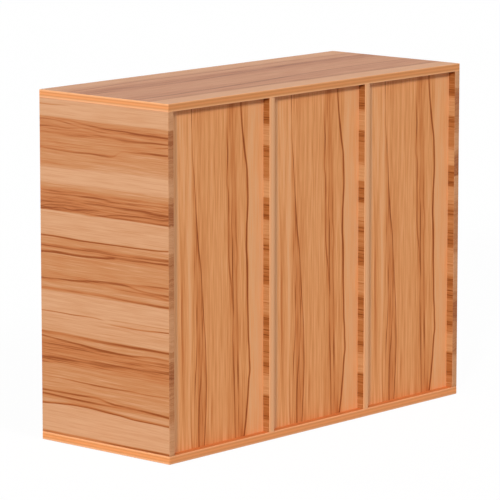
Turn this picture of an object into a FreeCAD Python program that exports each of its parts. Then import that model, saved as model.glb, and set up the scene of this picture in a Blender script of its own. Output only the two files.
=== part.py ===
import FreeCAD, Part
import os
import Sketcher

# A desktop file organizer of laminated board. Two sides and two dividers stand between a top
# and a bottom board and make three bays. Each bay has a column of letter compartments between
# thin shelves that slide in grooves, a fixed deck board, and a drawer under the deck. Thin
# panels, let into grooves, close the back. All lengths are in millimetres. The frame's origin
# is in the middle of the case's footprint: X runs to the right as seen from the open front,
# Y from the front to the back, and Z up.

# Each bay's place, in bay pitches from the middle of the case.
BAYS = {"left": -1, "middle": 0, "right": 1}

# The shelves of a bay, numbered from the lowest.
SHELVES = range(1, 8)

# The uprights' places, in bay pitches from the middle of the case. The sides stand at the ends
# of the row of bays, and the dividers one bay inside them.
SIDES = {"left": -len(BAYS) / 2, "right": len(BAYS) / 2}
DIVIDERS = {"left": SIDES["left"] + 1, "right": SIDES["right"] - 1}

# The driving sizes: alias, value and meaning.
SIZES = (
    ("case_width", "748", "outside width"),
    ("case_depth", "291", "outside depth"),
    ("case_height", "590", "outside height"),
    ("top_thick", "13.4", "top board"),
    ("bottom_thick", "13.4", "bottom board"),
    ("upright_thick", "12.5", "sides and dividers"),
    ("edge_ease", "0.6", "flat on each eased edge of the boards"),
    ("tongue_height", "4", "how far a divider enters the top and bottom boards"),
    ("tongue_inset", "12", "from a divider's front and back edges to its tongues"),
    ("tongue_play", "0.5", "housing deeper and longer than a divider's tongue"),
    ("panel_thick", "3", "back panels"),
    ("panel_recess", "14", "from the boards' back edges to the back panels"),
    ("panel_tongue", "3.5", "how far a back panel enters each groove"),
    ("panel_play", "0.2", "groove wider than the back panel, on the inside"),
    ("panel_end_play", "0.5", "groove deeper than the back panel enters"),
    ("deck_thick", "12.5", "deck boards over the drawers"),
    ("housing_depth", "3", "how far a deck board enters each upright"),
    ("shelf_thick", "4", "sliding shelves"),
    ("shelf_tongue", "3", "how far a shelf enters each groove"),
    ("shelf_play", "0.5", "groove taller than the shelf"),
    ("shelf_end_play", "0.5", "groove deeper than the shelf enters"),
    ("shelf_setback", "3", "from the case's front to a shelf's front edge"),
    ("shelf_back_gap", "0.8", "from a shelf's back edge to the back panel"),
    ("drawer_opening", "92", "height of the opening under a deck board"),
    ("drawer_side_gap", "1.5", "from a drawer to each upright"),
    ("drawer_top_gap", "2", "from a drawer front to the deck board"),
    ("drawer_foot_gap", "1", "from a drawer front to the bottom board"),
    ("drawer_back_gap", "0.8", "from a drawer's back end to the back panel"),
    ("front_thick", "12.5", "drawer fronts"),
    ("side_thick", "9", "drawer sides"),
    ("side_height", "74", "drawer sides, from the bottom board up"),
    ("back_thick", "9", "drawer backs"),
    ("base_thick", "3", "drawer bottoms"),
    ("base_lift", "7", "from the bottom board to a drawer bottom"),
    ("base_tongue", "3.5", "how far a drawer bottom enters each groove"),
    ("base_play", "0.2", "groove taller than the drawer bottom"),
    ("base_end_play", "0.5", "groove deeper than the drawer bottom enters"),
    ("front_rabbet", "5", "how far a drawer side enters the drawer front"),
    ("scoop_width", "68", "finger scoop in the drawer front, along its top edge"),
    ("scoop_depth", "21", "finger scoop in the drawer front, below its top edge"),
    ("scoop_lip", "5", "radius where the scoop meets the top edge"),
    ("front_row", "37", "from the case's front to the first cam"),
    ("back_row", "45", "from the back panel to the last cam"),
    ("dowel_diameter", "6", "dowels"),
    ("dowel_in_cap", "9", "how far a dowel enters the top or bottom board"),
    ("dowel_in_upright", "18", "how far a dowel enters an upright"),
    ("bolt_in_cap", "9.5", "how far a cam bolt enters the top or bottom board"),
    ("bolt_shank", "4.4", "diameter of a cam bolt"),
    ("bolt_head", "5.8", "diameter of a cam bolt's head"),
    ("bolt_head_length", "2.4", "length of that head"),
    ("cam_diameter", "12", "cam discs"),
    ("cam_depth", "9.4", "cam discs, from face to back"),
    ("cam_setback", "24", "from an upright's end to a cam's middle"),
    ("cam_slot_width", "1.4", "driver slots in a cam's face"),
    ("cam_slot_length", "7", "driver slots in a cam's face"),
    ("cam_slot_depth", "1.6", "driver slots in a cam's face"),
    ("bore_play", "0.1", "a bore's radius over that of what it holds"),
    ("bore_end_play", "0.4", "a bore deeper than what it holds"),
)

# Lengths worked out from the sizes, in the order in which they depend on each other.
LAYOUT = (
    ("bay_width",
     f"(sizes.case_width - {len(SIDES) + len(DIVIDERS)} * sizes.upright_thick) / {len(BAYS)}"),
    ("bay_pitch", "layout.bay_width + sizes.upright_thick"),
    ("half_width", "sizes.case_width / 2"),
    ("half_depth", "sizes.case_depth / 2"),
    ("half_upright", "sizes.upright_thick / 2"),
    ("upright_height", "sizes.case_height - sizes.top_thick - sizes.bottom_thick"),
    ("upright_top", "sizes.case_height - sizes.top_thick"),
    ("panel_rear", "layout.half_depth - sizes.panel_recess"),
    ("panel_front", "layout.panel_rear - sizes.panel_thick"),
    ("panel_half_width", "layout.bay_width / 2 + sizes.panel_tongue"),
    ("panel_groove_front", "layout.panel_front - sizes.panel_play"),
    ("tongue_end", "layout.half_depth - sizes.tongue_inset"),
    ("tongue_top", "layout.upright_height + sizes.tongue_height"),
    ("panel_groove_depth", "sizes.panel_tongue + sizes.panel_end_play"),
    ("groove_length", "layout.panel_groove_front + layout.half_depth"),
    ("deck_low", "sizes.bottom_thick + sizes.drawer_opening"),
    ("deck_high", "layout.deck_low + sizes.deck_thick"),
    ("shelf_groove_height", "sizes.shelf_thick + sizes.shelf_play"),
    ("shelf_groove_depth", "sizes.shelf_tongue + sizes.shelf_end_play"),
    ("column_height", "layout.upright_top - layout.deck_high"),
    ("compartment_height",
     f"(layout.column_height - {len(SHELVES)} * sizes.shelf_thick) / {len(SHELVES) + 1}"),
    ("shelf_pitch", "layout.compartment_height + sizes.shelf_thick"),
    ("first_shelf", "layout.deck_high + layout.compartment_height"),
    ("drawer_half_width", "layout.bay_width / 2 - sizes.drawer_side_gap"),
    ("drawer_half_inside", "layout.drawer_half_width - sizes.side_thick"),
    ("drawer_length", "layout.panel_front + layout.half_depth - sizes.drawer_back_gap"),
    ("drawer_front_top", "sizes.drawer_opening - sizes.drawer_top_gap"),
    ("base_groove_top", "sizes.base_lift + sizes.base_thick + sizes.base_play"),
    ("base_groove_depth", "sizes.base_tongue + sizes.base_end_play"),
    ("scoop_radius",
     "(sizes.scoop_width ^ 2 / 4 + sizes.scoop_depth ^ 2) / (2 * sizes.scoop_depth)"),
    ("front_cam", "sizes.front_row - layout.half_depth"),
    ("back_cam", "layout.panel_front - sizes.back_row"),
    ("middle_dowel", "(layout.front_cam + layout.back_cam) / 2"),
    ("dowel_bore", "sizes.dowel_diameter + 2 * sizes.bore_play"),
    ("shank_bore", "sizes.bolt_shank + 2 * sizes.bore_play"),
    ("head_bore", "sizes.bolt_head + 2 * sizes.bore_play"),
    ("cam_bore", "sizes.cam_diameter + 2 * sizes.bore_play"),
    ("bolt_head_low", "sizes.cam_setback + sizes.bolt_head_length / 2"),
    ("bolt_head_high", "sizes.cam_setback - sizes.bolt_head_length / 2"),
)

CAM_ROWS = ("layout.front_cam", "layout.back_cam")
DOWEL_ROWS = ("layout.middle_dowel",)

# A sketch's own origin, and the point of a line or circle that a constraint holds.
SKETCH_ORIGIN, _, START, END, CENTRE = range(-1, 4)


def fill_sheet(doc):
    """Put the driving sizes in a sheet, each with its alias and its meaning."""
    sheet = doc.addObject("Spreadsheet::Sheet", "sizes")
    for row, (alias, value, meaning) in enumerate(SIZES, start=1):
        sheet.set(f"A{row}", alias)
        sheet.set(f"B{row}", value)
        sheet.set(f"C{row}", meaning)
        sheet.setAlias(f"B{row}", alias)
    doc.recompute()


def fill_layout(doc):
    """Work out the lengths that several pieces share."""
    layout = doc.addObject("App::VarSet", "layout")
    for name, formula in LAYOUT:
        layout.addProperty("App::PropertyFloat", name, "layout")
        layout.setExpression(name, formula)
    doc.recompute()


def new_body(doc, name, across="0", along="0", up="0"):
    """A body whose own origin lies at three formulas in the case's frame."""
    body = doc.addObject("PartDesign::Body", name)
    body.Label = name
    body.setExpression("Placement.Base.x", across)
    body.setExpression("Placement.Base.y", along)
    body.setExpression("Placement.Base.z", up)
    return body


def origin_feature(body, role):
    """One of a body's own origin planes or axes."""
    return next(item for item in body.Origin.OriginFeatures if item.Role == role)


def new_sketch(body, role, name, lift="0"):
    """A sketch on an origin plane, lifted along the plane's normal."""
    sketch = body.newObject("Sketcher::SketchObject", name)
    sketch.AttachmentSupport = (origin_feature(body, role), [""])
    sketch.MapMode = "FlatFace"
    sketch.setExpression("AttachmentOffset.Base.z", lift)
    return sketch


def point_at(sketch, across, up):
    """Where two formulas put a point of a sketch now."""
    return FreeCAD.Vector(sketch.evalExpression(across), sketch.evalExpression(up), 0)


def hold(sketch, kind, formula, *elements):
    """Add one constraint whose value follows a formula."""
    value = sketch.evalExpression(formula)
    number = sketch.addConstraint(Sketcher.Constraint(kind, *elements, value))
    sketch.renameConstraint(number, f"{kind}_{number}")
    sketch.setExpression(f"Constraints.{kind}_{number}", formula)


def hold_point(sketch, geometry, point, across, up):
    """Hold a point of a sketch at a distance across and up from the sketch's origin."""
    hold(sketch, "DistanceX", across, SKETCH_ORIGIN, START, geometry, point)
    hold(sketch, "DistanceY", up, SKETCH_ORIGIN, START, geometry, point)


def add_polygon(sketch, corners):
    """A closed outline through corners, each a pair of formulas."""
    points = [point_at(sketch, across, up) for across, up in corners]
    lines = []
    for start, end in zip(points, points[1:] + points[:1]):
        lines.append(sketch.addGeometry(Part.LineSegment(start, end), False))
    for line, following in zip(lines, lines[1:] + lines[:1]):
        sketch.addConstraint(Sketcher.Constraint("Coincident", line, END, following, START))
    for line, (across, up) in zip(lines, corners):
        hold_point(sketch, line, START, across, up)


def add_rectangle(sketch, left, right, low, high):
    """An upright rectangle between four formulas."""
    add_polygon(sketch, ((left, low), (right, low), (right, high), (left, high)))


def add_circle(sketch, across, up, diameter):
    """A circle with its centre and its diameter at formulas."""
    radius = sketch.evalExpression(diameter) / 2
    circle = Part.Circle(point_at(sketch, across, up), FreeCAD.Vector(0, 0, 1), radius)
    number = sketch.addGeometry(circle, False)
    hold_point(sketch, number, CENTRE, across, up)
    hold(sketch, "Diameter", diameter, number)


def add_pad(body, sketch, length, reverse=False):
    """Raise a sketch into a solid, along its normal unless reversed."""
    pad = body.newObject("PartDesign::Pad", "pad")
    pad.Profile = sketch
    pad.Reversed = reverse
    pad.setExpression("Length", length)
    body.Document.recompute()
    return pad


def add_pocket(body, sketch, length, reverse=False):
    """Cut a sketch into the solid, against its normal unless reversed."""
    before = body.Shape.Volume
    pocket = body.newObject("PartDesign::Pocket", "pocket")
    pocket.Profile = sketch
    pocket.Reversed = reverse
    pocket.setExpression("Length", length)
    body.Document.recompute()
    if body.Shape.Volume >= before:
        raise RuntimeError(f"{sketch.Label} of {body.Label} cuts nothing")
    return pocket


def repeat(body, features, role, spacing, count):
    """Repeat features along an origin axis of the body."""
    pattern = body.newObject("PartDesign::LinearPattern", "pattern")
    pattern.Originals = features
    pattern.Direction = (origin_feature(body, role), [""])
    pattern.Mode = "Spacing"
    pattern.setExpression("Offset", spacing)
    pattern.Occurrences = count
    body.Tip = pattern
    body.Document.recompute()


def is_along(edge, axis):
    """Whether an edge is straight and runs along X, Y or Z."""
    box = edge.BoundBox
    lengths = {"X": box.XLength, "Y": box.YLength, "Z": box.ZLength}
    run = lengths.pop(axis)
    return run > max(lengths.values()) and max(lengths.values()) < Part.Precision.confusion()


def ease(body, feature, wanted):
    """Bevel the edges of a feature that pass a test."""
    names = [f"Edge{number}" for number, edge in enumerate(feature.Shape.Edges, start=1)
             if wanted(edge)]
    chamfer = body.newObject("PartDesign::Chamfer", "eased")
    chamfer.Base = (feature, names)
    chamfer.setExpression("Size", "sizes.edge_ease")
    body.Document.recompute()


def make_cap(doc, name, thick, height, is_top):
    """The top or bottom board. Its origin is in the middle of its inner face."""
    body = new_body(doc, name, up=height)
    outline = new_sketch(body, "XY_Plane", "outline")
    add_rectangle(outline, "-layout.half_width", "layout.half_width",
                  "-layout.half_depth", "layout.half_depth")
    block = add_pad(body, outline, thick, reverse=not is_top)
    ease(body, block, lambda edge: True)

    slot = new_sketch(body, "XY_Plane", "panel_slot")
    add_rectangle(slot,
                  "-layout.bay_pitch - layout.panel_half_width - sizes.panel_end_play",
                  "-layout.bay_pitch + layout.panel_half_width + sizes.panel_end_play",
                  "layout.panel_groove_front", "layout.panel_rear")
    first_slot = add_pocket(body, slot, "layout.panel_groove_depth", reverse=is_top)
    repeat(body, [first_slot], "X_Axis", "layout.bay_pitch", len(BAYS))

    housing = new_sketch(body, "XY_Plane", "divider_housing")
    middle = f"{DIVIDERS['left']} * layout.bay_pitch"
    add_rectangle(housing, f"{middle} - layout.half_upright", f"{middle} + layout.half_upright",
                  "-layout.tongue_end - sizes.tongue_play", "layout.tongue_end + sizes.tongue_play")
    first_housing = add_pocket(body, housing, "sizes.tongue_height + sizes.tongue_play",
                               reverse=is_top)
    repeat(body, [first_housing], "X_Axis", "layout.bay_pitch", len(DIVIDERS))

    middle = f"{SIDES['left']} * layout.bay_pitch"
    dowels = new_sketch(body, "XY_Plane", "dowel_bores")
    bolts = new_sketch(body, "XY_Plane", "bolt_bores")
    for row in DOWEL_ROWS:
        add_circle(dowels, middle, row, "layout.dowel_bore")
    for row in CAM_ROWS:
        add_circle(bolts, middle, row, "layout.shank_bore")
    dowel_bores = add_pocket(body, dowels, "sizes.dowel_in_cap + sizes.bore_end_play",
                             reverse=is_top)
    bolt_bores = add_pocket(body, bolts, "sizes.bolt_in_cap + sizes.bore_end_play",
                            reverse=is_top)
    repeat(body, [dowel_bores, bolt_bores], "X_Axis", f"{len(BAYS)} * layout.bay_pitch",
           len(SIDES))
    return body


def cut_face(body, face):
    """Grooves for the shelves, the deck board and the back panel in one face of an upright.

    The face is 1 for the right-hand one and -1 for the left-hand one.
    """
    surface = f"{face} * layout.half_upright"

    groove = new_sketch(body, "XZ_Plane", "shelf_groove", lift="layout.half_depth")
    groove_low = "layout.first_shelf - sizes.bottom_thick"
    add_rectangle(groove, f"{surface} - {face} * layout.shelf_groove_depth", surface,
                  groove_low, f"{groove_low} + layout.shelf_groove_height")
    first_groove = add_pocket(body, groove, "layout.groove_length")
    repeat(body, [first_groove], "Z_Axis", "layout.shelf_pitch", len(SHELVES))

    housing = new_sketch(body, "XZ_Plane", "deck_housing", lift="layout.half_depth")
    add_rectangle(housing, f"{surface} - {face} * sizes.housing_depth", surface,
                  "sizes.drawer_opening", "sizes.drawer_opening + sizes.deck_thick")
    add_pocket(body, housing, "layout.groove_length")

    channel = new_sketch(body, "XY_Plane", "panel_groove", lift="-sizes.tongue_height")
    add_rectangle(channel, f"{surface} - {face} * layout.panel_groove_depth", surface,
                  "layout.panel_groove_front", "layout.panel_rear")
    add_pocket(body, channel, "layout.tongue_top + sizes.tongue_height", reverse=True)


def cut_fastener_bores(body, cam_face):
    """Bores for the cams in one face of a side, and for bolts and dowels in its ends."""
    cams = new_sketch(body, "YZ_Plane", "cam_bores", lift=f"{cam_face} * layout.half_upright")
    for row in CAM_ROWS:
        for height in ("sizes.cam_setback", "layout.upright_height - sizes.cam_setback"):
            add_circle(cams, row, height, "layout.cam_bore")
    add_pocket(body, cams, "sizes.cam_depth + sizes.bore_end_play", reverse=cam_face < 0)

    for end, height, is_foot in (("foot", "0", True), ("head", "layout.upright_height", False)):
        bolts = new_sketch(body, "XY_Plane", f"{end}_bolt_bores", lift=height)
        for row in CAM_ROWS:
            add_circle(bolts, "0", row, "layout.head_bore")
        add_pocket(body, bolts, "sizes.cam_setback", reverse=is_foot)

        dowels = new_sketch(body, "XY_Plane", f"{end}_dowel_bores", lift=height)
        for row in DOWEL_ROWS:
            add_circle(dowels, "0", row, "layout.dowel_bore")
        add_pocket(body, dowels, "sizes.dowel_in_upright + sizes.bore_end_play",
                   reverse=is_foot)


def new_upright(doc, name, station, corners):
    """An upright board, raised both ways from its outline and eased along its long edges.

    Its origin is in the middle of its foot, and its outline is seen from the right.
    """
    body = new_body(doc, name, across=f"{station} * layout.bay_pitch", up="sizes.bottom_thick")
    outline = new_sketch(body, "YZ_Plane", "outline")
    add_polygon(outline, corners)
    board = add_pad(body, outline, "sizes.upright_thick")
    board.SideType = "Symmetric"
    doc.recompute()
    half = body.evalExpression("layout.upright_height / 2")
    ease(body, board, lambda edge: is_along(edge, "Z") and edge.Length > half)
    return body


def make_side(doc, hand):
    """A side, with its grooves and its cams in the face that looks into the case."""
    inner_face = {"left": 1, "right": -1}[hand]
    body = new_upright(doc, f"{hand}_side", SIDES[hand], (
        ("-layout.half_depth", "0"), ("layout.half_depth", "0"),
        ("layout.half_depth", "layout.upright_height"),
        ("-layout.half_depth", "layout.upright_height")))
    cut_face(body, inner_face)
    cut_fastener_bores(body, inner_face)
    return body


def make_divider(doc, hand):
    """A divider, grooved in both faces, with a tongue at its foot and another at its head."""
    body = new_upright(doc, f"{hand}_divider", DIVIDERS[hand], (
        ("-layout.half_depth", "0"),
        ("-layout.tongue_end", "0"),
        ("-layout.tongue_end", "-sizes.tongue_height"),
        ("layout.tongue_end", "-sizes.tongue_height"),
        ("layout.tongue_end", "0"),
        ("layout.half_depth", "0"),
        ("layout.half_depth", "layout.upright_height"),
        ("layout.tongue_end", "layout.upright_height"),
        ("layout.tongue_end", "layout.tongue_top"),
        ("-layout.tongue_end", "layout.tongue_top"),
        ("-layout.tongue_end", "layout.upright_height"),
        ("-layout.half_depth", "layout.upright_height")))
    for face in (-1, 1):
        cut_face(body, face)
    return body


def make_back_panel(doc, bay):
    """A back panel. Its tongues stand in the grooves of the boards on all four sides."""
    body = new_body(doc, f"{bay}_back_panel", across=f"{BAYS[bay]} * layout.bay_pitch",
                    along="layout.panel_rear", up="sizes.bottom_thick")
    outline = new_sketch(body, "XZ_Plane", "outline")
    add_rectangle(outline, "-layout.panel_half_width", "layout.panel_half_width",
                  "-sizes.panel_tongue", "layout.upright_height + sizes.panel_tongue")
    add_pad(body, outline, "sizes.panel_thick")
    return body


def make_deck(doc, bay):
    """The fixed board over a drawer, let into the uprights on both sides."""
    body = new_body(doc, f"{bay}_deck", across=f"{BAYS[bay]} * layout.bay_pitch",
                    up="layout.deck_low")
    outline = new_sketch(body, "XY_Plane", "outline")
    add_rectangle(outline, "-layout.bay_width / 2 - sizes.housing_depth",
                  "layout.bay_width / 2 + sizes.housing_depth",
                  "-layout.half_depth", "layout.panel_front")
    board = add_pad(body, outline, "sizes.deck_thick")
    ease(body, board, lambda edge: is_along(edge, "X") and edge.CenterOfMass.y < 0)
    return body


def make_shelf(doc, bay, number):
    """A sliding shelf. It lies on the floors of its two grooves and pulls out to the front."""
    height = f"layout.first_shelf + {SHELVES.index(number)} * layout.shelf_pitch"
    body = new_body(doc, f"{bay}_shelf_{number}", across=f"{BAYS[bay]} * layout.bay_pitch",
                    up=height)
    outline = new_sketch(body, "XY_Plane", "outline")
    add_rectangle(outline, "-layout.bay_width / 2 - sizes.shelf_tongue",
                  "layout.bay_width / 2 + sizes.shelf_tongue",
                  "sizes.shelf_setback - layout.half_depth",
                  "layout.panel_front - sizes.shelf_back_gap")
    board = add_pad(body, outline, "sizes.shelf_thick")
    ease(body, board, lambda edge: is_along(edge, "X") and edge.CenterOfMass.y < 0)
    return body


def drawer_body(doc, name, bay, across="0"):
    """A body of a drawer, with its origin at the foot of the case's front, in the bay."""
    return new_body(doc, f"{bay}_drawer_{name}", along="-layout.half_depth",
                    across=f"{BAYS[bay]} * layout.bay_pitch + {across}", up="sizes.bottom_thick")


def make_drawer_front(doc, bay):
    """A drawer front with a finger scoop, rabbets for the sides and a groove for the bottom."""
    body = drawer_body(doc, "front", bay)
    outline = new_sketch(body, "XZ_Plane", "outline")
    add_rectangle(outline, "-layout.drawer_half_width", "layout.drawer_half_width",
                  "sizes.drawer_foot_gap", "layout.drawer_front_top")
    add_pad(body, outline, "sizes.front_thick", reverse=True)

    scoop = new_sketch(body, "XZ_Plane", "finger_scoop")
    add_circle(scoop, "0", "layout.drawer_front_top - sizes.scoop_depth + layout.scoop_radius",
               "2 * layout.scoop_radius")
    notch = add_pocket(body, scoop, "sizes.front_thick")

    reach = body.evalExpression("sizes.scoop_width / 2 + sizes.edge_ease")
    lips = [f"Edge{number}" for number, edge in enumerate(notch.Shape.Edges, start=1)
            if is_along(edge, "Y") and abs(edge.CenterOfMass.x) < reach]
    rounded = body.newObject("PartDesign::Fillet", "rounded_lips")
    rounded.Base = (notch, lips)
    rounded.setExpression("Radius", "sizes.scoop_lip")
    doc.recompute()
    ease(body, rounded, lambda edge: edge.BoundBox.YMax < Part.Precision.confusion())

    for side in (-1, 1):
        rabbet = new_sketch(body, "XY_Plane", "side_rabbet")
        add_rectangle(rabbet, f"{side} * layout.drawer_half_inside",
                      f"{side} * layout.drawer_half_width",
                      "sizes.front_thick - sizes.front_rabbet", "sizes.front_thick")
        add_pocket(body, rabbet, "sizes.side_height", reverse=True)

    groove = new_sketch(body, "XZ_Plane", "bottom_groove", lift="-sizes.front_thick")
    add_rectangle(groove, "-layout.drawer_half_inside", "layout.drawer_half_inside",
                  "sizes.base_lift", "layout.base_groove_top")
    add_pocket(body, groove, "layout.base_groove_depth", reverse=True)
    return body


def make_drawer_side(doc, bay, hand):
    """A drawer side. Its outline stands on its outer face and is raised inwards."""
    side = {"left": -1, "right": 1}[hand]
    body = drawer_body(doc, f"{hand}_side", bay, across=f"{side} * layout.drawer_half_width")
    outline = new_sketch(body, "YZ_Plane", "outline")
    add_rectangle(outline, "sizes.front_thick - sizes.front_rabbet", "layout.drawer_length",
                  "0", "sizes.side_height")
    board = add_pad(body, outline, "sizes.side_thick", reverse=side > 0)
    middle = body.evalExpression("sizes.side_height / 2")
    ease(body, board, lambda edge: is_along(edge, "Y") and edge.CenterOfMass.z > middle)

    groove = new_sketch(body, "YZ_Plane", "bottom_groove", lift=f"{-side} * sizes.side_thick")
    add_rectangle(groove, "sizes.front_thick - sizes.front_rabbet", "layout.drawer_length",
                  "sizes.base_lift", "layout.base_groove_top")
    add_pocket(body, groove, "layout.base_groove_depth", reverse=side > 0)
    return body


def make_drawer_back(doc, bay):
    """A drawer back. It stands between the sides, on the drawer's bottom."""
    body = drawer_body(doc, "back", bay)
    outline = new_sketch(body, "XZ_Plane", "outline", lift="-layout.drawer_length")
    add_rectangle(outline, "-layout.drawer_half_inside", "layout.drawer_half_inside",
                  "sizes.base_lift + sizes.base_thick", "sizes.side_height")
    board = add_pad(body, outline, "sizes.back_thick")
    middle = body.evalExpression("sizes.side_height / 2")
    ease(body, board, lambda edge: is_along(edge, "X") and edge.CenterOfMass.z > middle)
    return body


def make_drawer_bottom(doc, bay):
    """A drawer's bottom. It slides in from behind, under the back."""
    body = drawer_body(doc, "bottom", bay)
    outline = new_sketch(body, "XY_Plane", "outline", lift="sizes.base_lift")
    add_rectangle(outline, "-layout.drawer_half_inside - sizes.base_tongue",
                  "layout.drawer_half_inside + sizes.base_tongue",
                  "sizes.front_thick - sizes.base_tongue", "layout.drawer_length")
    add_pad(body, outline, "sizes.base_thick")
    return body


def make_dowel(doc):
    """One dowel, upright, with its origin where the two boards meet."""
    body = new_body(doc, "dowel")
    outline = new_sketch(body, "XY_Plane", "outline", lift="-sizes.dowel_in_upright")
    add_circle(outline, "0", "0", "sizes.dowel_diameter")
    add_pad(body, outline, "sizes.dowel_in_upright + sizes.dowel_in_cap")
    return body


def make_cam_bolt(doc):
    """One cam bolt, turned about Z, with its origin where the two boards meet."""
    body = new_body(doc, "cam_bolt")
    profile = new_sketch(body, "XZ_Plane", "profile")
    add_polygon(profile, (
        ("0", "sizes.bolt_in_cap"),
        ("sizes.bolt_shank / 2", "sizes.bolt_in_cap"),
        ("sizes.bolt_shank / 2", "-layout.bolt_head_high"),
        ("sizes.bolt_head / 2", "-layout.bolt_head_high"),
        ("sizes.bolt_head / 2", "-layout.bolt_head_low"),
        ("0", "-layout.bolt_head_low"),
    ))
    turned = body.newObject("PartDesign::Revolution", "turned")
    turned.Profile = profile
    turned.ReferenceAxis = (profile, ["V_Axis"])
    turned.Angle = 360
    doc.recompute()
    return body


def make_cam_disc(doc):
    """One cam disc in the right-hand face of an upright, with its origin in its face's middle.

    The bolt's head comes to the disc's axis through a channel that is open above and behind.
    """
    body = new_body(doc, "cam_disc")
    outline = new_sketch(body, "YZ_Plane", "outline")
    add_circle(outline, "0", "0", "sizes.cam_diameter")
    add_pad(body, outline, "sizes.cam_depth", reverse=True)

    low = "sizes.bolt_head_length / 2 + sizes.bore_end_play"
    half = "layout.head_bore / 2"
    channel = new_sketch(body, "XY_Plane", "bolt_channel", lift=f"-({low})")
    add_rectangle(channel, "-sizes.cam_depth", f"{half} - layout.half_upright",
                  f"-{half}", half)
    add_pocket(body, channel, f"{low} + sizes.cam_diameter / 2", reverse=True)

    slots = new_sketch(body, "YZ_Plane", "driver_slots")
    long = "sizes.cam_slot_length / 2"
    short = "sizes.cam_slot_width / 2"
    add_polygon(slots, (
        (f"-{long}", f"-{short}"), (f"-{short}", f"-{short}"), (f"-{short}", f"-{long}"),
        (short, f"-{long}"), (short, f"-{short}"), (long, f"-{short}"),
        (long, short), (short, short), (short, long),
        (f"-{short}", long), (f"-{short}", short), (f"-{long}", short),
    ))
    add_pocket(body, slots, "sizes.cam_slot_depth")
    return body


def make_group(doc, name, piece, rows, height, surface):
    """Copies of a fastener at both ends of both sides, gathered as one group.

    A fastener's own shape is that at the head of the left side, with its origin the given
    height below the top board and the given distance to the right of the side's middle. It is
    turned over for the foot, and turned about Z for the right side.
    """
    copies = []
    for hand, station in SIDES.items():
        is_left = station < 0
        shift = surface if is_left else f"-({surface})"
        about_z = FreeCAD.Rotation(FreeCAD.Vector(0, 0, 1), 0 if is_left else 180)
        for row in rows:
            for end, level, turn in (("foot", f"sizes.bottom_thick + {height}", 180),
                                     ("head", f"layout.upright_top - {height}", 0)):
                copy = doc.addObject("App::Link", f"{piece.Label}_{hand}_{end}")
                copy.LinkedObject = piece
                about_x = FreeCAD.Rotation(FreeCAD.Vector(1, 0, 0), turn)
                copy.Placement.Rotation = about_z.multiply(about_x)
                copy.setExpression("Placement.Base.x",
                                   f"{station} * layout.bay_pitch + {shift}")
                copy.setExpression("Placement.Base.y", row)
                copy.setExpression("Placement.Base.z", level)
                copies.append(copy)
    group = doc.addObject("Part::Compound", name)
    group.Label = name
    group.Links = copies
    doc.recompute()
    return group


def make_parts(doc):
    """Every sub-part of the organizer."""
    parts = [
        make_cap(doc, "bottom_board", "sizes.bottom_thick", "sizes.bottom_thick", False),
        make_cap(doc, "top_board", "sizes.top_thick", "layout.upright_top", True),
    ]
    parts += [make_side(doc, hand) for hand in SIDES]
    parts += [make_divider(doc, hand) for hand in DIVIDERS]
    for bay in BAYS:
        parts.append(make_back_panel(doc, bay))
        parts.append(make_deck(doc, bay))
        parts += [make_shelf(doc, bay, number) for number in SHELVES]
        parts.append(make_drawer_front(doc, bay))
        parts += [make_drawer_side(doc, bay, hand) for hand in ("left", "right")]
        parts.append(make_drawer_back(doc, bay))
        parts.append(make_drawer_bottom(doc, bay))
    parts += [
        make_group(doc, "dowels", make_dowel(doc), DOWEL_ROWS, "0", "0"),
        make_group(doc, "cam_bolts", make_cam_bolt(doc), CAM_ROWS, "0", "0"),
        make_group(doc, "cam_discs", make_cam_disc(doc), CAM_ROWS, "sizes.cam_setback",
                   "layout.half_upright"),
    ]
    return parts


def check(doc, parts):
    """Stop if any object failed or any sub-part isn't a sound shape."""
    for item in doc.Objects:
        if {"Invalid", "Error"} & set(item.State):
            raise RuntimeError(f"{item.Label} is in state {item.State}")
    for part in parts:
        if part.Shape.isNull() or not part.Shape.isValid() or not part.Shape.Solids:
            raise RuntimeError(f"{part.Label} has no sound shape")


def main():
    os.makedirs("parts", exist_ok=True)
    doc = FreeCAD.newDocument("file_organizer")
    fill_sheet(doc)
    fill_layout(doc)
    parts = make_parts(doc)
    doc.recompute()
    check(doc, parts)
    for part in parts:
        part.Shape.exportStep(f"parts/{part.Label}.step")
        print(part.Label, len(part.Shape.Solids), "solids,",
              round(part.Shape.Volume / 1000, 1), "cubic centimetres")


main()
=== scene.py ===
# %% [markdown]
# A desktop file organizer of laminated board, seen from behind. Its shapes come from the packed
# model: this script dresses them. We load that model first, and note the box it fills, because
# nothing that we add may make the object larger.

# %% Load the model
import bpy
import math
import numpy as np
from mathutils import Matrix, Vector


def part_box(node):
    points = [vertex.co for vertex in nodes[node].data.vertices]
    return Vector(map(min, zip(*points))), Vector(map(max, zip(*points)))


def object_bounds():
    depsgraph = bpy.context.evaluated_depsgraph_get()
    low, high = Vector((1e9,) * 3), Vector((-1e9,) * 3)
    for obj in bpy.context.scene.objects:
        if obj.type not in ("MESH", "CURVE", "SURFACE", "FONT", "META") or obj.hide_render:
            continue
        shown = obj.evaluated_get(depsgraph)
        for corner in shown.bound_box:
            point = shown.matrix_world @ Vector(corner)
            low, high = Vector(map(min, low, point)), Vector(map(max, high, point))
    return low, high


MM = 1000.0                    # millimetres in a metre: the model is in metres

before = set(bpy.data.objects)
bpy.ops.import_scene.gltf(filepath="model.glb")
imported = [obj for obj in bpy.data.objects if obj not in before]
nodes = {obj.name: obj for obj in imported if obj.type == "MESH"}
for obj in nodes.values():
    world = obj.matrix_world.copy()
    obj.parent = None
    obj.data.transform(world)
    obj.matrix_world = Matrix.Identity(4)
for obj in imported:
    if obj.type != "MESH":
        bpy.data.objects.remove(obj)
cad_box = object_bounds()
print(len(nodes), "nodes, box", [tuple(round(c, 4) for c in corner) for corner in cad_box])

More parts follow.
